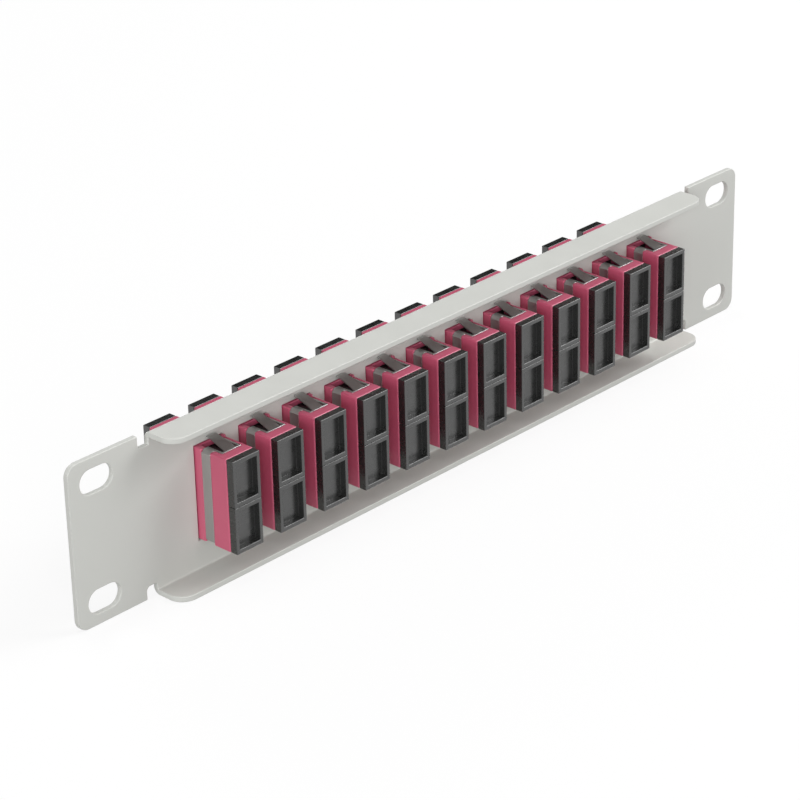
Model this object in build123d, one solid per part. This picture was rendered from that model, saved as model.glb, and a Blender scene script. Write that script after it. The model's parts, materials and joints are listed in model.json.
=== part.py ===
from build123d import *
import os

# A 10 inch, one unit high fibre patch panel: a folded steel sheet that carries twelve upright
# duplex adapters, each with a housing, a steel spring clip, two sleeve holders with a split
# ceramic sleeve, and two dust caps at either end.
#
# Frame, in millimetres: X runs along the panel, Z is up and -Y points to the rear of the panel,
# the side that its flanges fold to. The origin is the centre of the rack slot pattern on the
# rear face, which bears on the rack.

# Panel sheet
PANEL_LENGTH = 254.0
PANEL_HEIGHT = 44.0
SHEET = 1.5
EAR_LENGTH = 25.4
EAR_CORNER_RADIUS = 3.2

# Flanges, folded to the rear between the ears
FLANGE_DEPTH = 8.7
FLANGE_CORNER_RADIUS = 4.5
BEND_INNER_RADIUS = 0.5

# Relief notches between ears and flanges
NOTCH_WIDTH = 3.4
NOTCH_DEPTH = 3.4
NOTCH_CORNER_RADIUS = 1.2

# Rack slots, which the standard puts 236.525 mm and 31.75 mm apart
SLOT_END_INSET = 8.7375
SLOT_EDGE_INSET = 6.125
SLOT_LENGTH = 10.3
SLOT_WIDTH = 6.5

# Row of adapters
ADAPTER_COUNT = 12
ADAPTER_PITCH = 15.0
CUTOUT_CLEARANCE = 0.3

# Adapter housing
BODY_WIDTH = 9.2
BODY_HEIGHT = 25.2
BODY_REAR = 10.8
BODY_FRONT = 16.3
COLLAR_RIM = 0.9
COLLAR_THICKNESS = 1.8

# Ports, two in each end of a housing
PORT_HEIGHT = 9.1
PORT_SIDE_WALL = 0.85
PORT_END_WALL = 1.7
MID_WALL = 3.0
KEYWAY_WIDTH = 2.4
KEYWAY_DEPTH = 0.45

# Seat of the spring clip: a groove round the housing and a window in either end wall
CLIP_SHEET = 0.35
CLIP_CLEARANCE = 0.05
CLIP_BEND = 0.7
BAND_FRONT = 2.2
BAND_REAR = 5.2
WINDOW_REAR = 7.7
RAIL_WALL = 0.9
CHEEK_WALL = 1.8
CHEEK_END_CHAMFER = 0.6
NIB_LENGTH = 1.1
NIB_HEIGHT = 0.45

# Leg of the clip over either window, and the tongue cut free from it
LEG_MARGIN = 0.65
TONGUE_ROOT_WIDTH = 3.7
TONGUE_TIP_WIDTH = 2.8
TONGUE_RISE = 1.75
TONGUE_LIP = 0.8
TONGUE_GAP = 0.3

# Sleeve holders and ceramic sleeves, drawn with few sides because there are 24 of each
ROUND_SIDES = 6
SLEEVE_OUTER = 3.2
SLEEVE_BORE = 2.5
SLEEVE_LENGTH = 11.4
SLEEVE_SLIT = 0.5
SLEEVE_CLEARANCE = 0.05
HOLDER_WALL = 0.75
HOLDER_LIP = 0.7
HOLDER_PLATE = 1.0
HOLDER_CLEARANCE = 0.1
ARM_WIDTH = 2.8
ARM_THICKNESS = 0.8
ARM_REACH = 6.6
ARM_HOOK = 0.5
ARM_RAMP = 1.4

# Dust caps
CAP_THICKNESS = 2.3
CAP_SIDE_INSET = 0.15
CAP_END_INSET = 0.05
CAP_SEAM = 0.1
CAP_SIDE_FRAME = 0.95
CAP_END_FRAME = 1.15
CAP_FLOOR = 0.4
PLUG_LENGTH = 6.4
PLUG_WALL = 0.9
PLUG_CLEARANCE = 0.1

# How near an edge lies to a place to be taken as there
NEAR = 0.01

# Places that follow from the sizes above
HALF_HEIGHT = PANEL_HEIGHT / 2
FLANGE_END = PANEL_LENGTH / 2 - EAR_LENGTH
SLOT_SPACING_X = PANEL_LENGTH - 2 * SLOT_END_INSET
SLOT_SPACING_Z = PANEL_HEIGHT - 2 * SLOT_EDGE_INSET
HALF_WIDTH = BODY_WIDTH / 2
HALF_BODY = BODY_HEIGHT / 2
BODY_MIDDLE = (BODY_FRONT - BODY_REAR) / 2
PORT_HALF_WIDTH = HALF_WIDTH - PORT_SIDE_WALL
PORT_CENTRE = HALF_BODY - PORT_END_WALL - PORT_HEIGHT / 2
GROOVE_DEPTH = CLIP_SHEET + CLIP_CLEARANCE
WINDOW_LEFT = CHEEK_WALL - HALF_WIDTH
WINDOW_RIGHT = HALF_WIDTH - RAIL_WALL
HOLDER_ACROSS = SLEEVE_OUTER + 2 * SLEEVE_CLEARANCE + 2 * HOLDER_WALL
ADAPTER_X = [(i - (ADAPTER_COUNT - 1) / 2) * ADAPTER_PITCH for i in range(ADAPTER_COUNT)]


def block(x, y, z):
    """A box between two limits along each axis."""
    size = (x[1] - x[0], y[1] - y[0], z[1] - z[0])
    centre = ((x[0] + x[1]) / 2, (y[0] + y[1]) / 2, (z[0] + z[1]) / 2)
    return Pos(*centre) * Box(*size)


def slab(outline, y):
    """A flat outline drawn in X and Z, given its thickness between two limits along Y."""
    sheet = Plane(origin=(0, y[0], 0), x_dir=(1, 0, 0), z_dir=(0, -1, 0)) * outline
    return extrude(sheet, amount=y[1] - y[0], dir=(0, 1, 0))


def rod(across, y):
    """A round rod along Y, drawn with flat sides that far apart, between two limits."""
    outline = RegularPolygon(across / 2, ROUND_SIDES, major_radius=False, rotation=180 / ROUND_SIDES)
    return slab(outline, y)


def strip(*points):
    """The section of the clip's sheet bent along a line of points."""
    return trace(Polyline(*points), CLIP_SHEET)


def flanged_middle():
    """The folded channel between the ears."""
    outer = Pos((SHEET - FLANGE_DEPTH) / 2, 0) * Rectangle(FLANGE_DEPTH + SHEET, PANEL_HEIGHT)
    outer = fillet(outer.vertices().group_by(Axis.X)[-1], BEND_INNER_RADIUS + SHEET)
    inner = Pos(-FLANGE_DEPTH, 0) * Rectangle(2 * FLANGE_DEPTH, PANEL_HEIGHT - 2 * SHEET)
    inner = fillet(inner.vertices().group_by(Axis.X)[-1], BEND_INNER_RADIUS)
    channel = extrude(Plane.YZ * (outer - inner), amount=FLANGE_END, both=True)
    free_corners = channel.edges().filter_by(Axis.Z).group_by(Axis.Y)[0]
    return fillet(free_corners, FLANGE_CORNER_RADIUS)


def ears():
    """The flat sheet of both ears, with its relief notches."""
    outline = RectangleRounded(PANEL_LENGTH, PANEL_HEIGHT, EAR_CORNER_RADIUS)
    outline -= Rectangle(2 * FLANGE_END, PANEL_HEIGHT)
    notch = RectangleRounded(2 * NOTCH_WIDTH, 2 * NOTCH_DEPTH, NOTCH_CORNER_RADIUS)
    for side in (-1, 1):
        for end in (-1, 1):
            outline -= Pos(side * FLANGE_END, end * HALF_HEIGHT) * notch
    return slab(outline, (0, SHEET))


def openings_in_sheet():
    """The rack slots and the adapter cutouts, as one flat outline."""
    slot = SlotOverall(SLOT_LENGTH, SLOT_WIDTH)
    cutout = Rectangle(BODY_WIDTH + 2 * CUTOUT_CLEARANCE, BODY_HEIGHT + 2 * CUTOUT_CLEARANCE)
    slots = GridLocations(SLOT_SPACING_X, SLOT_SPACING_Z, 2, 2) * slot
    cutouts = [Pos(x, 0) * cutout for x in ADAPTER_X]
    return Sketch() + slots + cutouts


def make_panel():
    """The whole folded sheet, one solid."""
    cutters = slab(openings_in_sheet(), (-SHEET, 2 * SHEET))
    return flanged_middle() + ears() - cutters


def clip_groove():
    """The groove that the clip's band and legs fill, round the left side of a housing."""
    reach = (-HALF_WIDTH, WINDOW_LEFT)
    around = block(reach, (-BAND_REAR, -BAND_FRONT), (-HALF_BODY, HALF_BODY))
    kept = block((GROOVE_DEPTH - HALF_WIDTH, WINDOW_LEFT), (-BAND_REAR, -BAND_FRONT),
                 (GROOVE_DEPTH - HALF_BODY, HALF_BODY - GROOVE_DEPTH))
    return around - chamfer(kept.edges().filter_by(Axis.Y).group_by(Axis.X)[0], CLIP_BEND)


def clip_window():
    """The opening in the end walls of a housing under the clip's legs, for both ends at once."""
    opening = block((WINDOW_LEFT, WINDOW_RIGHT), (-WINDOW_REAR, 0), (-HALF_BODY, HALF_BODY))
    return opening - block((-HALF_WIDTH, HALF_WIDTH), (-WINDOW_REAR, 0), (-PORT_CENTRE, PORT_CENTRE))


def make_housing():
    """An adapter housing: two ports in each end, a collar, and the seat of its spring clip."""
    body = block((-HALF_WIDTH, HALF_WIDTH), (-BODY_REAR, BODY_FRONT), (-HALF_BODY, HALF_BODY))
    body -= clip_groove() + clip_window()
    cheek_ends = [e for e in body.edges().filter_by(Axis.Z)
                  if abs(e.center().Y + BAND_REAR) < NEAR and abs(e.center().Z) > HALF_BODY - GROOVE_DEPTH]
    body = chamfer(cheek_ends, CHEEK_END_CHAMFER)
    collar = block((-HALF_WIDTH - COLLAR_RIM, HALF_WIDTH + COLLAR_RIM), (SHEET, SHEET + COLLAR_THICKNESS),
                   (-HALF_BODY - COLLAR_RIM, HALF_BODY + COLLAR_RIM))
    body += collar
    for end in (-1, 1):
        nib_z = sorted((end * (HALF_BODY - NIB_HEIGHT), end * (HALF_BODY + NIB_HEIGHT)))
        body += block((WINDOW_RIGHT, HALF_WIDTH), (-NIB_LENGTH - TONGUE_GAP, -TONGUE_GAP), nib_z)
    wall = (BODY_MIDDLE - MID_WALL / 2, BODY_MIDDLE + MID_WALL / 2)
    for z in (-PORT_CENTRE, PORT_CENTRE):
        height = (z - PORT_HEIGHT / 2, z + PORT_HEIGHT / 2)
        keyway = (z - KEYWAY_WIDTH / 2, z + KEYWAY_WIDTH / 2)
        for y in ((-BODY_REAR, wall[0]), (wall[1], BODY_FRONT)):
            body -= block((-PORT_HALF_WIDTH, PORT_HALF_WIDTH), y, height)
            body -= block((0, PORT_HALF_WIDTH + KEYWAY_DEPTH), y, keyway)
        body -= Pos(0, 0, z) * rod(HOLDER_ACROSS + 2 * HOLDER_CLEARANCE, wall)
    return body


def make_clip():
    """A bent steel clip: a band on the broad side, with a leg and a sprung tongue over each window."""
    side = CLIP_CLEARANCE + CLIP_SHEET / 2 - HALF_WIDTH
    level = HALF_BODY - GROOVE_DEPTH + CLIP_SHEET / 2
    left = WINDOW_LEFT + CLIP_CLEARANCE
    right = WINDOW_RIGHT - CLIP_CLEARANCE
    rear = CLIP_CLEARANCE - WINDOW_REAR
    hole = (left + LEG_MARGIN, right - LEG_MARGIN, rear + LEG_MARGIN)
    band = slab(strip((hole[0], level), (side + CLIP_BEND, level), (side, level - CLIP_BEND),
                      (side, CLIP_BEND - level), (side + CLIP_BEND, -level), (hole[0], -level)),
                (-BAND_REAR, -BAND_FRONT))
    frame = make_face(Polyline((left, -BAND_FRONT), (left, rear), (right, rear), (right, -TONGUE_GAP),
                               (hole[1], -TONGUE_GAP), (hole[1], hole[2]), (hole[0], hole[2]),
                               (hole[0], -BAND_FRONT), close=True))
    leg = Pos(0, 0, level - CLIP_SHEET / 2) * extrude(frame, amount=CLIP_SHEET)
    crest = level + TONGUE_RISE
    bent = strip((rear, level), (hole[2], level), (-TONGUE_GAP - TONGUE_LIP, crest), (-TONGUE_GAP, crest))
    middle = (left + right) / 2
    root = TONGUE_ROOT_WIDTH / 2
    tip = TONGUE_TIP_WIDTH / 2
    taper = make_face(Polyline((middle - root, rear), (middle + root, rear), (middle + tip, -TONGUE_GAP),
                               (middle - tip, -TONGUE_GAP), close=True))
    tongue = extrude(Plane.YZ * bent, amount=HALF_WIDTH, both=True) & extrude(taper, amount=2 * crest)
    leg += tongue
    return band + leg + mirror(leg, Plane.XY)


def make_holder():
    """A sleeve holder: a tube through the mid wall, on a plate with two hooked latch arms."""
    seat = SLEEVE_LENGTH / 2 + SLEEVE_CLEARANCE
    reach = (BODY_MIDDLE - seat - HOLDER_LIP, BODY_MIDDLE + seat + HOLDER_LIP)
    back = BODY_MIDDLE - MID_WALL / 2 - HOLDER_PLATE
    width = PORT_HALF_WIDTH - HOLDER_CLEARANCE
    height = PORT_HEIGHT / 2 - HOLDER_CLEARANCE
    plate = block((-width, width), (back, back + HOLDER_PLATE), (-height, height))
    tip = back - ARM_REACH
    inside = height - ARM_THICKNESS
    section = make_face(Polyline((back, height), (tip, height), (tip, inside - ARM_HOOK),
                                 (tip + ARM_RAMP, inside), (back, inside), close=True))
    arm = extrude(Plane.YZ * section, amount=ARM_WIDTH / 2, both=True)
    holder = plate + arm + mirror(arm, Plane.XY) + rod(HOLDER_ACROSS, reach)
    return holder - rod(SLEEVE_OUTER + 2 * SLEEVE_CLEARANCE, reach)


def make_sleeve():
    """A split ceramic sleeve, which lines up the two ferrules."""
    reach = (BODY_MIDDLE - SLEEVE_LENGTH / 2, BODY_MIDDLE + SLEEVE_LENGTH / 2)
    sleeve = rod(SLEEVE_OUTER, reach) - rod(SLEEVE_BORE, reach)
    return sleeve - block((0, SLEEVE_OUTER), reach, (-SLEEVE_SLIT / 2, SLEEVE_SLIT / 2))


def make_cap():
    """The upper dust cap of a rear end: a sunk frame on a plug with two cheeks."""
    face = -BODY_REAR - CAP_THICKNESS
    width = HALF_WIDTH - CAP_SIDE_INSET
    height = (CAP_SEAM / 2, HALF_BODY - CAP_END_INSET)
    cap = block((-width, width), (face, -BODY_REAR), height)
    cap -= block((CAP_SIDE_FRAME - width, width - CAP_SIDE_FRAME), (face, -BODY_REAR - CAP_FLOOR),
                 (height[0] + CAP_END_FRAME, height[1] - CAP_END_FRAME))
    cheek = PORT_HALF_WIDTH - PLUG_CLEARANCE
    half_plug = PORT_HEIGHT / 2 - PLUG_CLEARANCE
    plug = (PORT_CENTRE - half_plug, PORT_CENTRE + half_plug)
    for side in (-1, 1):
        x = sorted((side * cheek, side * (cheek - PLUG_WALL)))
        cap += block(x, (-BODY_REAR, PLUG_LENGTH - BODY_REAR), plug)
    return cap


def write(name, solids):
    """One node: its solids as a group, each by itself."""
    export_step(Compound(label=name, children=list(solids)), f"parts/{name}.step")


def main():
    os.makedirs("parts", exist_ok=True)
    write("panel", [make_panel()])
    housing = make_housing()
    clip = make_clip()
    rear_caps = [make_cap(), mirror(make_cap(), Plane.XY)]
    turn = Pos(0, BODY_MIDDLE, 0) * Rot(0, 0, 180) * Pos(0, -BODY_MIDDLE, 0)
    front_caps = [turn * cap for cap in rear_caps]
    for number, x in enumerate(ADAPTER_X, start=1):
        write(f"adapter_housing_{number:02d}", [Pos(x, 0, 0) * housing])
        write(f"spring_clip_{number:02d}", [Pos(x, 0, 0) * clip])
        write(f"rear_cap_pair_{number:02d}", [Pos(x, 0, 0) * cap for cap in rear_caps])
        write(f"front_cap_pair_{number:02d}", [Pos(x, 0, 0) * cap for cap in front_caps])
    holder = make_holder()
    sleeve = make_sleeve()
    ports = [Pos(x, 0, z) for x in ADAPTER_X for z in (-PORT_CENTRE, PORT_CENTRE)]
    write("sleeve_holders", [port * holder for port in ports])
    write("alignment_sleeves", [port * sleeve for port in ports])


main()
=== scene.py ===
"""Dresses the packed fibre patch panel: its finishes, rounded edges, studio and camera."""

from __future__ import annotations

import json
import logging
import math
from abc import ABC, abstractmethod
from dataclasses import dataclass, field
from enum import Enum
from typing import Any

import bmesh
import bpy
from mathutils import Matrix, Vector

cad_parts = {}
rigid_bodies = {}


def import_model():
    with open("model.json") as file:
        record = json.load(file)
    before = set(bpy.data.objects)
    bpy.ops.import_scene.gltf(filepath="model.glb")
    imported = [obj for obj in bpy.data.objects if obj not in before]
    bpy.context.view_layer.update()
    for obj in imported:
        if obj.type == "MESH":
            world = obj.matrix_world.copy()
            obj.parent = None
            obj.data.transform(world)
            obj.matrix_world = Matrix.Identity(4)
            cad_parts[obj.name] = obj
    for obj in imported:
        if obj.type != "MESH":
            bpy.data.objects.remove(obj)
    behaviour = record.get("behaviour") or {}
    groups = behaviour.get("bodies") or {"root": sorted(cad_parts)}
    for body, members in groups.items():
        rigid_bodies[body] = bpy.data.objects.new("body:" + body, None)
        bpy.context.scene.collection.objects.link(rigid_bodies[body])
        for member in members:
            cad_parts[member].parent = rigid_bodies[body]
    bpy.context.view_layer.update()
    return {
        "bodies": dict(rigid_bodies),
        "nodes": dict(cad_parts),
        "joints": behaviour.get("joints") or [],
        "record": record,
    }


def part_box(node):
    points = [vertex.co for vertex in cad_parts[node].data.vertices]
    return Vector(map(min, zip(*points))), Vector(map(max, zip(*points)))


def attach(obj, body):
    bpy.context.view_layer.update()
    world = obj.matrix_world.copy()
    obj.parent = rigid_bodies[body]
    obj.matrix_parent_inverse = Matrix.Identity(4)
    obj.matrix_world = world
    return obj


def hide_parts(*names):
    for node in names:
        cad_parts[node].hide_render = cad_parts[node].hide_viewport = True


LOG = logging.getLogger("patch_panel")

# Lengths are in metres, unless a name ends in mm.
MM = 0.001
ADAPTERS = 12
PANEL_BODY = "panel_assembly"

Colour = tuple[float, float, float]
Point = tuple[float, float, float]
Pair = tuple[float, float]
Socket = bpy.types.NodeSocket

WHITE: Colour = (1.0, 1.0, 1.0)

# Most of a noise texture lies between these two values.
NOISE_MIDDLE: Pair = (0.3, 0.7)

# Points nearer than this are one point, facets that turn by less than FLAT_DEG are one flat face,
# and the shading breaks where a mesh turns by more than SHARP_DEG.
MERGE_MM = 0.0005
FLAT_DEG = 0.6
SHARP_DEG = 33.0


class Slot(Enum):
    """The record's material slots."""

    PAINTED_STEEL = "painted_steel"
    HOUSING_PLASTIC = "housing_plastic"
    SPRING_STEEL = "spring_steel"
    CAP_PLASTIC = "cap_plastic"
    HOLDER_PLASTIC = "holder_plastic"
    CERAMIC = "ceramic"


class End(Enum):
    """The two ends of an adapter, each with its own pair of dust caps."""

    REAR = "rear"
    FRONT = "front"


@dataclass(frozen=True)
class Grain:
    """The grain of a noise: its cells' size, its octaves, and how much finer it is along each axis."""

    cell_mm: float
    detail: float = 2.0
    roughness: float = 0.5
    stretch: Point = (1.0, 1.0, 1.0)


@dataclass(frozen=True)
class Relief:
    """How deep and how strong a bump is."""

    depth_mm: float
    strength: float


class NodeGraph:
    """A material's node tree with short ways to add and join its nodes."""

    def __init__(self, name: str) -> None:
        """Starts a material that holds its output, a principled shader and the object's coordinates.

        Args:
            name: The material's name.
        """
        self.material = bpy.data.materials.new(name)
        self.material.use_nodes = True
        self.tree = self.material.node_tree
        self.tree.nodes.clear()
        output = self.tree.nodes.new("ShaderNodeOutputMaterial")
        self.shader = self.tree.nodes.new("ShaderNodeBsdfPrincipled")
        self.join(self.shader.outputs["BSDF"], output.inputs["Surface"])
        self.coordinates = self.tree.nodes.new("ShaderNodeTexCoord")

    def join(self, source: Socket, target: Socket) -> None:
        """Links an output socket to an input socket.

        Args:
            source: The output socket.
            target: The input socket.
        """
        self.tree.links.new(source, target)

    def set(self, **values: float | Colour) -> None:
        """Sets the shader's own sockets.

        Args:
            values: Socket names, with underscores for spaces, and their values.
        """
        for name, value in values.items():
            socket = self.shader.inputs[name if name == "IOR" else name.replace("_", " ").title()]
            socket.default_value = (*value, 1.0) if isinstance(value, tuple) else value

    def mapped(self, scale: Point) -> Socket:
        """Object coordinates, stretched.

        Args:
            scale: How much each axis is multiplied.

        Returns:
            The mapping node's vector output.
        """
        mapping = self.tree.nodes.new("ShaderNodeMapping")
        mapping.inputs["Scale"].default_value = scale
        self.join(self.coordinates.outputs["Object"], mapping.inputs["Vector"])
        return mapping.outputs["Vector"]

    def noise(self, grain: Grain) -> Socket:
        """A noise texture.

        Args:
            grain: Its grain.

        Returns:
            The noise's factor output.
        """
        texture = self.tree.nodes.new("ShaderNodeTexNoise")
        scale = 1.0 / (grain.cell_mm * MM)
        texture.inputs["Scale"].default_value = 1.0
        texture.inputs["Detail"].default_value = grain.detail
        texture.inputs["Roughness"].default_value = grain.roughness
        vector = self.mapped(tuple(scale * along for along in grain.stretch))
        self.join(vector, texture.inputs["Vector"])
        return texture.outputs["Fac"]

    def ranged(self, factor: Socket, low: float, high: float) -> Socket:
        """A noise mapped from the middle of its range onto a new range.

        Args:
            factor: The output socket to map.
            low: Result at the lower end of the noise's middle.
            high: Result at the upper end of it.

        Returns:
            The mapped output.
        """
        node = self.tree.nodes.new("ShaderNodeMapRange")
        ends = {"From Min": NOISE_MIDDLE[0], "From Max": NOISE_MIDDLE[1], "To Min": low, "To Max": high}
        for name, value in ends.items():
            node.inputs[name].default_value = value
        self.join(factor, node.inputs["Value"])
        return node.outputs["Result"]

    def blended(self, factor: Socket, first: Colour, second: Colour) -> Socket:
        """A colour between two, driven by a factor.

        Args:
            factor: The output socket that drives it.
            first: Colour at a factor of 0.
            second: Colour at a factor of 1.

        Returns:
            The colour output.
        """
        node = self.tree.nodes.new("ShaderNodeMix")
        node.data_type = "RGBA"
        node.inputs["A"].default_value = (*first, 1.0)
        node.inputs["B"].default_value = (*second, 1.0)
        self.join(factor, node.inputs["Factor"])
        return node.outputs["Result"]

    def bump(self, height: Socket, relief: Relief, below: Socket | None = None) -> Socket:
        """A bump from a height field.

        Args:
            height: The output socket of the height.
            relief: Its depth and strength.
            below: The normal output of a bump under this one.

        Returns:
            The normal output.
        """
        node = self.tree.nodes.new("ShaderNodeBump")
        node.inputs["Distance"].default_value = relief.depth_mm * MM
        node.inputs["Strength"].default_value = relief.strength
        self.join(height, node.inputs["Height"])
        if below is not None:
            self.join(below, node.inputs["Normal"])
        return node.outputs["Normal"]

    def feed(self, socket: str, source: Socket) -> None:
        """Joins an output to one of the shader's inputs.

        Args:
            socket: The shader input's name.
            source: The output socket.
        """
        self.join(source, self.shader.inputs[socket])


def scaled(colour: Colour, factor: float) -> Colour:
    """A colour made lighter or darker by a factor."""
    return tuple(channel * factor for channel in colour)


@dataclass(frozen=True)
class Finish(ABC):
    """One finish: its base colour and roughness, and how far both vary over the surface.

    The tones are shares of the base colour, and the sheen is what is added to the roughness.
    """

    name: str
    base: Colour
    roughness: float
    tones: Pair
    sheen: Pair

    def material(self) -> bpy.types.Material:
        """Builds the finish.

        Returns:
            Its node material.
        """
        graph = NodeGraph(self.name)
        self.add_layers(graph)
        return graph.material

    @abstractmethod
    def add_layers(self, graph: NodeGraph) -> None:
        """Adds the finish's own nodes.

        Args:
            graph: The material's nodes.
        """

    def tint(self, graph: NodeGraph, factor: Socket) -> None:
        """Varies the base colour between its two tones.

        Args:
            graph: The material's nodes.
            factor: The noise that drives it.
        """
        dark = scaled(self.base, self.tones[0])
        light = scaled(self.base, self.tones[1])
        graph.feed("Base Color", graph.blended(factor, dark, light))

    def polish(self, graph: NodeGraph, factor: Socket) -> None:
        """Varies the roughness between its two steps.

        Args:
            graph: The material's nodes.
            factor: The noise that drives it.
        """
        low = self.roughness + self.sheen[0]
        high = self.roughness + self.sheen[1]
        graph.feed("Roughness", graph.ranged(factor, low, high))


@dataclass(frozen=True)
class PowderCoat(Finish):
    """Baked powder paint on sheet steel, with its fine orange peel."""

    roughness: float = 0.44
    tones: Pair = (0.975, 1.02)
    sheen: Pair = (-0.04, 0.05)
    clouds: Grain = Grain(38.0, detail=3.0)
    patches: Grain = Grain(6.0)
    powder: Grain = Grain(0.16, detail=1.0)
    powder_relief: Relief = Relief(0.01, 0.25)
    peel: Grain = Grain(0.55, detail=1.5)
    peel_relief: Relief = Relief(0.03, 0.3)

    def add_layers(self, graph: NodeGraph) -> None:
        """Adds the paint's clouds, its patches and its two reliefs.

        Args:
            graph: The material's nodes.
        """
        self.tint(graph, graph.noise(self.clouds))
        self.polish(graph, graph.noise(self.patches))
        powder = graph.bump(graph.noise(self.powder), self.powder_relief)
        graph.feed("Normal", graph.bump(graph.noise(self.peel), self.peel_relief, powder))


@dataclass(frozen=True)
class MouldedPlastic(Finish):
    """An injection moulding with the fine erosion texture of its tool."""

    roughness: float = 0.4
    tones: Pair = (0.94, 1.06)
    sheen: Pair = (-0.05, 0.06)
    ior: float = 1.5
    flow: Grain = Grain(7.0, detail=4.0, roughness=0.6, stretch=(1.0, 0.5, 1.0))
    patches: Grain = Grain(2.4, detail=3.0)
    erosion: Grain = Grain(0.14)
    relief: Relief = Relief(0.012, 0.22)

    def add_layers(self, graph: NodeGraph) -> None:
        """Adds the melt's flow, the gloss patches and the erosion texture.

        Args:
            graph: The material's nodes.
        """
        graph.set(IOR=self.ior)
        self.tint(graph, graph.noise(self.flow))
        self.polish(graph, graph.noise(self.patches))
        graph.feed("Normal", graph.bump(graph.noise(self.erosion), self.relief))


@dataclass(frozen=True)
class SpringSteel(Finish):
    """Cold rolled spring steel with its rolling lines."""

    roughness: float = 0.3
    tones: Pair = (0.88, 1.1)
    sheen: Pair = (-0.02, 0.04)
    rolling: Grain = Grain(0.09, detail=3.0, stretch=(1.0, 1.0, 0.03))
    relief: Relief = Relief(0.006, 0.35)
    stains: Grain = Grain(1.8, detail=4.0)

    def add_layers(self, graph: NodeGraph) -> None:
        """Adds the rolling lines and the stains.

        Args:
            graph: The material's nodes.
        """
        graph.set(metallic=1.0)
        rolled = graph.noise(self.rolling)
        self.tint(graph, rolled)
        self.polish(graph, graph.noise(self.stains))
        graph.feed("Normal", graph.bump(rolled, self.relief))


@dataclass(frozen=True)
class Ceramic(Finish):
    """Ground zirconia, white and smooth, with faint grinding lines."""

    roughness: float = 0.22
    tones: Pair = (0.97, 1.0)
    sheen: Pair = (0.0, 0.1)
    grinding: Grain = Grain(0.08, stretch=(0.1, 1.0, 0.1))
    relief: Relief = Relief(0.003, 0.15)

    def add_layers(self, graph: NodeGraph) -> None:
        """Adds the grinding lines.

        Args:
            graph: The material's nodes.
        """
        ground = graph.noise(self.grinding)
        self.tint(graph, ground)
        self.polish(graph, ground)
        graph.feed("Normal", graph.bump(ground, self.relief))


FINISHES: dict[Slot, Finish] = {
    Slot.PAINTED_STEEL: PowderCoat("light_grey_powder_coat", (0.6, 0.606, 0.575)),
    Slot.HOUSING_PLASTIC: MouldedPlastic(
        "violet_moulding", (0.52, 0.096, 0.168), roughness=0.34, ior=1.56),
    Slot.SPRING_STEEL: SpringSteel("rolled_spring_steel", (0.5, 0.505, 0.5)),
    Slot.CAP_PLASTIC: MouldedPlastic(
        "black_cap_moulding", (0.011, 0.0115, 0.011), roughness=0.27, ior=1.85,
        relief=Relief(0.012, 0.07)),
    Slot.HOLDER_PLASTIC: MouldedPlastic(
        "black_holder_moulding", (0.014, 0.014, 0.014), roughness=0.42),
    Slot.CERAMIC: Ceramic("white_zirconia", (0.82, 0.82, 0.79)),
}


class Paintbox:
    """Builds each finish once and hands it out by slot."""

    def __init__(self) -> None:
        """Starts with no material made."""
        self.made: dict[Slot, bpy.types.Material] = {}

    def dress(self, piece: bpy.types.Object, slot: Slot) -> None:
        """Gives a piece its only material.

        Args:
            piece: The object to dress.
            slot: The record's slot of its finish.
        """
        if slot not in self.made:
            self.made[slot] = FINISHES[slot].material()
        piece.data.materials.clear()
        piece.data.materials.append(self.made[slot])


@dataclass(frozen=True)
class EdgeRound:
    """How the edges of a solid are rounded: never by more than a share of the face beside them.

    An edge that turns by less than the least angle stays as it is, and an inner edge takes no more
    of the radius than its own share.
    """

    radius_mm: float
    segments: int = 3
    least_angle_deg: float = 28.0
    face_share: float = 0.3
    inner_share: float = 1.0

    def narrowest(self, edge: bmesh.types.BMEdge) -> float:
        """Width of the narrowest face beside an edge.

        Args:
            edge: An edge between two whole flat faces.

        Returns:
            How far that face reaches from the edge.
        """
        start = edge.verts[0].co
        line = (edge.verts[1].co - start).normalized()
        return min(
            max((vert.co - start).cross(line).length for vert in face.verts)
            for face in edge.link_faces)

    def weight(self, edge: bmesh.types.BMEdge) -> float:
        """The share of the full radius that an edge can take.

        Args:
            edge: An edge between two whole flat faces.

        Returns:
            A weight from 0, left sharp, to 1.
        """
        if edge.calc_face_angle(0.0) < math.radians(self.least_angle_deg):
            return 0.0
        most = 1.0 if edge.is_convex else self.inner_share
        return min(most, self.face_share * self.narrowest(edge) / (self.radius_mm * MM))


def weighted_mesh(node: bpy.types.Object, name: str, edge: EdgeRound) -> bpy.types.Mesh:
    """Copies a solid's mesh with its facets joined to whole faces and its edges weighted.

    Args:
        node: The solid to copy.
        name: The new mesh's name.
        edge: How its edges are to be rounded.

    Returns:
        The new mesh, in triangles.
    """
    form = bmesh.new()
    form.from_mesh(node.data)
    bmesh.ops.remove_doubles(form, verts=form.verts, dist=MERGE_MM * MM)
    bmesh.ops.dissolve_limit(
        form, angle_limit=math.radians(FLAT_DEG), verts=form.verts, edges=form.edges)
    weights = form.edges.layers.float.new("bevel_weight_edge")
    for side in form.edges:
        side[weights] = edge.weight(side)
    bmesh.ops.triangulate(form, faces=form.faces, quad_method="BEAUTY", ngon_method="BEAUTY")
    mesh = bpy.data.meshes.new(name)
    form.to_mesh(mesh)
    form.free()
    return mesh


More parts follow.
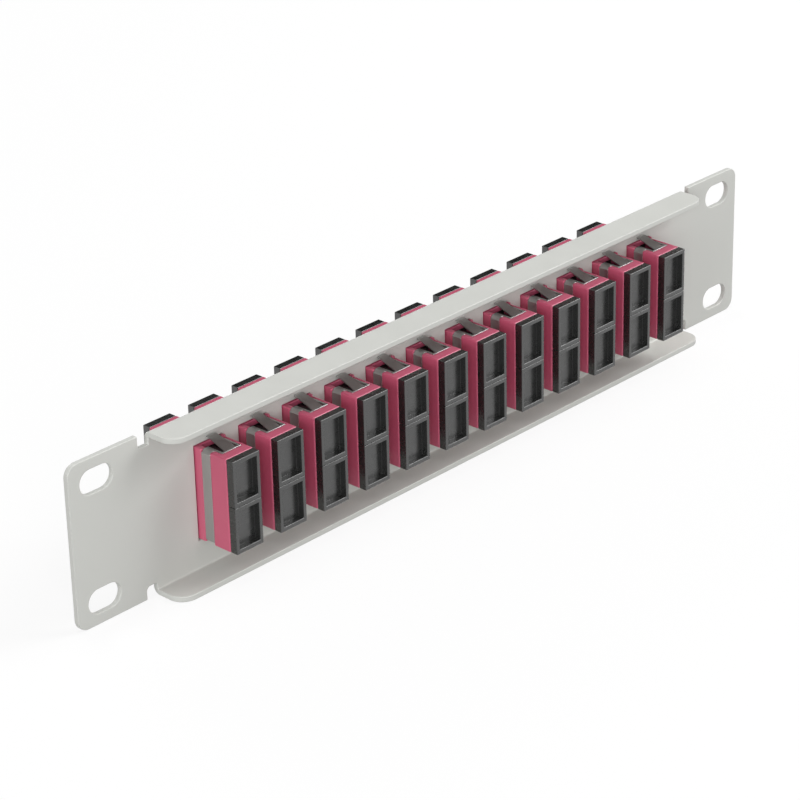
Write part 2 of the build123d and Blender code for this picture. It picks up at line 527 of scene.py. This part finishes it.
def rounded_copy(node: bpy.types.Object, name: str, edge: EdgeRound) -> bpy.types.Object:
    """Copies a solid as a new piece and rounds its edges.

    Args:
        node: The solid to copy.
        name: The new piece's name.
        edge: How its edges are rounded.

    Returns:
        The new piece, rounded and shaded.
    """
    piece = bpy.data.objects.new(name, weighted_mesh(node, name, edge))
    bpy.context.scene.collection.objects.link(piece)
    bevel = piece.modifiers.new("round", "BEVEL")
    bevel.width = edge.radius_mm * MM
    bevel.segments = edge.segments
    bevel.limit_method = "WEIGHT"
    bevel.use_clamp_overlap = False
    bevel.loop_slide = False
    return applied(piece)


def applied(piece: bpy.types.Object) -> bpy.types.Object:
    """Bakes a piece's modifiers into its mesh and smooths its shading.

    Args:
        piece: The object whose modifiers are applied.

    Returns:
        The same object, with one modifier left that turns its normals to the larger faces.
    """
    graph = bpy.context.evaluated_depsgraph_get()
    mesh = bpy.data.meshes.new_from_object(piece.evaluated_get(graph))
    piece.modifiers.clear()
    spare = piece.data
    piece.data = mesh
    bpy.data.meshes.remove(spare)
    mesh.name = piece.name
    for polygon in mesh.polygons:
        polygon.use_smooth = True
    mesh.set_sharp_from_angle(angle=math.radians(SHARP_DEG))
    weighted = piece.modifiers.new("face_normals", "WEIGHTED_NORMAL")
    weighted.keep_sharp = True
    return piece


@dataclass
class DressedPart:
    """A solid of the frame that gets its finish and, where it shows, rounded edges."""

    node: str
    slot: Slot
    edge: EdgeRound | None = None
    body: str = PANEL_BODY

    def build(self, frame: dict[str, Any], paint: Paintbox) -> bpy.types.Object:
        """Dresses the part.

        Args:
            paint: Where its finish comes from.

        Returns:
            The object that shows.
        """
        solid = frame["nodes"][self.node]
        if self.edge is None:
            paint.dress(solid, self.slot)
            return solid
        piece = rounded_copy(solid, f"{self.node}_dressed", self.edge)
        paint.dress(piece, self.slot)
        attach(piece, self.body)
        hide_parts(self.node)
        return piece


class Assembly(ABC):
    """Parts of the panel that belong together."""

    @abstractmethod
    def parts(self) -> list[DressedPart]:
        """The parts, in the order in which they are built."""

    def build(self, frame: dict[str, Any], paint: Paintbox) -> list[bpy.types.Object]:
        """Builds and dresses the parts.

        Args:
            paint: Where their finishes come from.

        Returns:
            The objects that show.
        """
        return [part.build(frame, paint) for part in self.parts()]


@dataclass
class PanelSheet(Assembly):
    """The folded steel sheet."""

    edge: EdgeRound = EdgeRound(0.2)

    def parts(self) -> list[DressedPart]:
        """The sheet alone."""
        return [DressedPart("panel", Slot.PAINTED_STEEL, self.edge)]


@dataclass
class FibreCores(Assembly):
    """The holders and sleeves inside the ports, which keep their solids' own edges."""

    def parts(self) -> list[DressedPart]:
        """All the holders as one part, and all the sleeves as another."""
        return [
            DressedPart("sleeve_holders", Slot.HOLDER_PLASTIC),
            DressedPart("alignment_sleeves", Slot.CERAMIC),
        ]


@dataclass
class Adapter(Assembly):
    """One duplex adapter with its spring clip and its two pairs of dust caps."""

    number: int
    housing_edge: EdgeRound = EdgeRound(0.38, segments=4)
    clip_edge: EdgeRound = EdgeRound(0.08, segments=2)
    cap_edge: EdgeRound = EdgeRound(0.16, inner_share=0.25)

    def parts(self) -> list[DressedPart]:
        """The housing, its clip, and a pair of caps at each end.

        Returns:
            The parts, of which each pair of caps rides on a body of its own.
        """
        tag = f"{self.number:02d}"
        parts = [
            DressedPart(f"adapter_housing_{tag}", Slot.HOUSING_PLASTIC, self.housing_edge),
            DressedPart(f"spring_clip_{tag}", Slot.SPRING_STEEL, self.clip_edge),
        ]
        for end in End:
            parts.append(DressedPart(f"{end.value}_cap_pair_{tag}", Slot.CAP_PLASTIC,
                                     self.cap_edge, f"{end.value}_caps_{tag}"))
        return parts


@dataclass
class PhotoCamera:
    """The camera that took the photograph, solved from the panel's own edges."""

    azimuth_deg: float = -46.33
    elevation_deg: float = 25.40
    roll_deg: float = -1.38
    distance: float = 0.7556
    target: Point = (-0.01506, 0.0, -0.00097)
    focal_px: float = 2918.0
    frame_px: float = 800.0
    sensor_mm: float = 36.0
    nearest: float = 0.01
    farthest: float = 20.0

    def build(self) -> None:
        """Makes the camera and sets it as the scene's."""
        azimuth = math.radians(self.azimuth_deg)
        elevation = math.radians(self.elevation_deg)
        back = Vector((math.sin(azimuth) * math.cos(elevation),
                       -math.cos(azimuth) * math.cos(elevation), math.sin(elevation)))
        right = Vector((0.0, 0.0, 1.0)).cross(back).normalized()
        up = back.cross(right)
        turn = Matrix.Rotation(math.radians(self.roll_deg), 4, "Z")
        data = bpy.data.cameras.new("photo_camera")
        data.sensor_width = self.sensor_mm
        data.lens = self.focal_px / self.frame_px * self.sensor_mm
        data.clip_start = self.nearest
        data.clip_end = self.farthest
        camera = bpy.data.objects.new("photo_camera", data)
        bpy.context.scene.collection.objects.link(camera)
        axes = Matrix((right, up, back)).transposed().to_4x4()
        place = Matrix.Translation(Vector(self.target) + back * self.distance)
        camera.matrix_world = place @ axes @ turn
        bpy.context.scene.camera = camera


@dataclass(frozen=True)
class SoftLight:
    """One softbox, turned to the middle of the panel."""

    name: str
    place: Point
    size: Pair
    power: float
    aim: Point = (0.0, 0.0, 0.0)

    def build(self) -> None:
        """Hangs the softbox."""
        data = bpy.data.lights.new(self.name, "AREA")
        data.shape = "RECTANGLE"
        data.size = self.size[0]
        data.size_y = self.size[1]
        data.energy = self.power
        lamp = bpy.data.objects.new(self.name, data)
        bpy.context.scene.collection.objects.link(lamp)
        lamp.location = self.place
        direction = Vector(self.aim) - Vector(self.place)
        lamp.rotation_mode = "QUATERNION"
        lamp.rotation_quaternion = direction.to_track_quat("-Z", "Y")


def flat_card(name: str, width: float, height: float) -> bpy.types.Object:
    """Makes a rectangle that lies flat, with its middle at the origin.

    Args:
        name: Its name.
        width: Its size along X.
        height: Its size along Y.

    Returns:
        The new object.
    """
    across = width / 2
    up = height / 2
    corner_points = [(-across, -up, 0.0), (across, -up, 0.0), (across, up, 0.0), (-across, up, 0.0)]
    mesh = bpy.data.meshes.new(name)
    mesh.from_pydata(corner_points, [], [(0, 1, 2, 3)])
    card = bpy.data.objects.new(name, mesh)
    bpy.context.scene.collection.objects.link(card)
    return card


@dataclass(frozen=True)
class BlackFlag:
    """A black card behind the panel, seen only in what its upper faces mirror."""

    middle: Point = (0.46, 0.44, 0.36)
    width: float = 1.0
    height: float = 0.62
    colour: Colour = (0.008, 0.008, 0.008)
    roughness: float = 1.0
    ior: float = 1.1

    def build(self) -> None:
        """Stands the card up, square to the line from the panel."""
        card = flat_card("black_flag", self.width, self.height)
        card.location = self.middle
        card.rotation_mode = "QUATERNION"
        card.rotation_quaternion = Vector(self.middle).to_track_quat("Z", "Y")
        graph = NodeGraph("black_card")
        graph.set(base_color=self.colour, roughness=self.roughness, IOR=self.ior)
        card.data.materials.append(graph.material)
        card.visible_camera = False
        card.visible_diffuse = False
        card.visible_shadow = False


@dataclass
class Studio:
    """The pale floor, the white surround, the softboxes and the black card.

    Floor and surround are pale where they show or are mirrored, and darker in the light that they
    throw on the panel. A softbox has a name, a place, a size and a power in watts.
    """

    floor_z: float
    floor_size: float = 2.6
    floor_glow: float = 0.84
    floor_shown: Colour = (0.92, 0.92, 0.92)
    floor_bounce: Colour = (0.24, 0.24, 0.24)
    ambient: float = 0.21
    surround: float = 1.0
    lights: list[SoftLight] = field(default_factory=lambda: [
        SoftLight("right_softbox", (0.9, -0.5, 0.8), (0.8, 0.8), 12.0),
        SoftLight("left_rear_softbox", (-0.95, -0.95, 0.4), (0.6, 0.6), 6.8),
        SoftLight("left_softbox", (-1.3, -0.35, 0.3), (0.6, 0.6), 6.2),
        SoftLight("rear_softbox", (-0.2, -1.4, 0.35), (0.7, 0.7), 2.0),
        SoftLight("top_softbox", (0.0, 0.1, 1.3), (0.8, 0.8), 4.6),
        SoftLight("front_softbox", (0.3, 1.4, 0.3), (0.9, 0.8), 10.0),
    ])
    flag: BlackFlag = BlackFlag()

    def shown_rays(self, tree: bpy.types.NodeTree) -> Socket:
        """A factor of 1 on camera, glossy and transmission rays.

        Args:
            tree: The node tree it is added to.

        Returns:
            The factor's output.
        """
        path = tree.nodes.new("ShaderNodeLightPath")
        total = path.outputs["Is Camera Ray"]
        for name in ("Is Glossy Ray", "Is Transmission Ray"):
            add = tree.nodes.new("ShaderNodeMath")
            add.operation = "MAXIMUM"
            tree.links.new(total, add.inputs[0])
            tree.links.new(path.outputs[name], add.inputs[1])
            total = add.outputs["Value"]
        return total

    def build_world(self) -> None:
        """Lights the scene from all round, and shows white to the camera."""
        world = bpy.data.worlds.new("surround")
        bpy.context.scene.world = world
        world.use_nodes = True
        tree = world.node_tree
        tree.nodes.clear()
        output = tree.nodes.new("ShaderNodeOutputWorld")
        mix = tree.nodes.new("ShaderNodeMixShader")
        for index, strength in ((1, self.ambient), (2, self.surround)):
            background = tree.nodes.new("ShaderNodeBackground")
            background.inputs["Strength"].default_value = strength
            background.inputs["Color"].default_value = (*WHITE, 1.0)
            tree.links.new(background.outputs["Background"], mix.inputs[index])
        tree.links.new(self.shown_rays(tree), mix.inputs["Fac"])
        tree.links.new(mix.outputs["Shader"], output.inputs["Surface"])

    def floor_material(self) -> bpy.types.Material:
        """Makes the floor's material: pale where it shows, darker in the light that it returns.

        Returns:
            The material.
        """
        material = bpy.data.materials.new("pale_floor")
        material.use_nodes = True
        tree = material.node_tree
        tree.nodes.clear()
        output = tree.nodes.new("ShaderNodeOutputMaterial")
        shown = self.shown_rays(tree)
        tint = tree.nodes.new("ShaderNodeMix")
        tint.data_type = "RGBA"
        tint.inputs["A"].default_value = (*self.floor_bounce, 1.0)
        tint.inputs["B"].default_value = (*self.floor_shown, 1.0)
        tree.links.new(shown, tint.inputs["Factor"])
        diffuse = tree.nodes.new("ShaderNodeBsdfDiffuse")
        tree.links.new(tint.outputs["Result"], diffuse.inputs["Color"])
        glow = tree.nodes.new("ShaderNodeEmission")
        scale = tree.nodes.new("ShaderNodeMath")
        scale.operation = "MULTIPLY"
        scale.inputs[1].default_value = self.floor_glow
        tree.links.new(shown, scale.inputs[0])
        mix = tree.nodes.new("ShaderNodeMixShader")
        tree.links.new(scale.outputs["Value"], mix.inputs["Fac"])
        tree.links.new(diffuse.outputs["BSDF"], mix.inputs[1])
        tree.links.new(glow.outputs["Emission"], mix.inputs[2])
        tree.links.new(mix.outputs["Shader"], output.inputs["Surface"])
        return material

    def build_floor(self) -> None:
        """Lays the floor that the panel stands on."""
        floor = flat_card("floor", self.floor_size, self.floor_size)
        floor.location = (0.0, 0.0, self.floor_z)
        floor.data.materials.append(self.floor_material())

    def build(self) -> None:
        """Builds the whole studio."""
        self.build_world()
        self.build_floor()
        for light in self.lights:
            light.build()
        self.flag.build()
        bpy.context.scene.view_settings.view_transform = "Standard"


def main() -> None:
    """Loads the frame, dresses every part and sets up the studio."""
    logging.basicConfig(level=logging.INFO, format="%(name)s: %(message)s")
    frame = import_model()
    paint = Paintbox()
    assemblies: list[Assembly] = [PanelSheet(), FibreCores()]
    assemblies += [Adapter(number) for number in range(1, ADAPTERS + 1)]
    for assembly in assemblies:
        for piece in assembly.build(frame, paint):
            LOG.info("%s: %d faces", piece.name, len(piece.data.polygons))
    PhotoCamera().build()
    Studio(floor_z=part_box("panel")[0].z).build()


if __name__ == "__main__":
    main()
